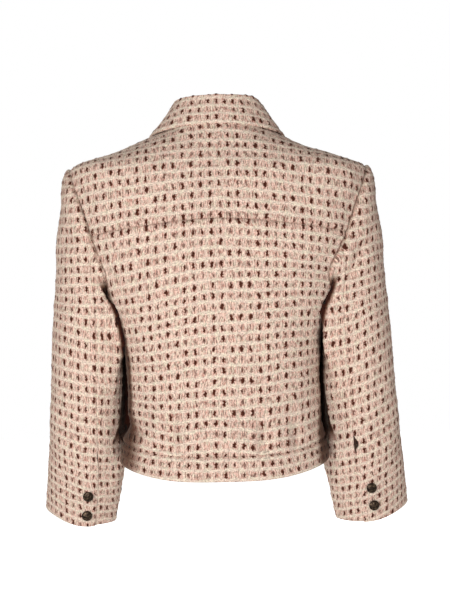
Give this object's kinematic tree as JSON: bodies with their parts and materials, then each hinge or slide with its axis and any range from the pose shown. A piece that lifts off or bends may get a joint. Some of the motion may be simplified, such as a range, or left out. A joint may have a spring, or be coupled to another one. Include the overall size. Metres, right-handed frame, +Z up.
{
  "type": "cropped jacket",
  "caption": "Hip-short collared jacket in textured cloth, buttoned up as worn and hollow inside, with a back yoke, a fitted waistband and bracelet-length sleeves with buttoned cuff vents.",
  "frame": {"origin": "the point midway between the shoulders, level with the base of the neck, where the wearer holds the jacket up", "axes": "+Z up along the wearer's spine, -Y towards the wearer's front, +X towards the wearer's left"},
  "size_m": [0.5259, 0.2366, 0.6121],
  "materials": {
    "tweed": "matte nubby wool-blend boucle tweed",
    "button_metal": "darkened antique metal, satin"
  },
  "bodies": {
    "root": {"back_yoke": "tweed", "back_body": "tweed", "front_left": "tweed", "front_right": "tweed", "waistband": "tweed", "sleeve_left_upper": "tweed", "sleeve_left_under": "tweed", "sleeve_right_upper": "tweed", "sleeve_right_under": "tweed", "collar": "tweed", "cuff_button_left_1": "button_metal", "cuff_button_left_2": "button_metal", "cuff_button_right_1": "button_metal", "cuff_button_right_2": "button_metal", "front_button_1": "button_metal", "front_button_2": "button_metal", "front_button_3": "button_metal", "front_button_4": "button_metal", "front_button_5": "button_metal"}
  },
  "joints": []
}
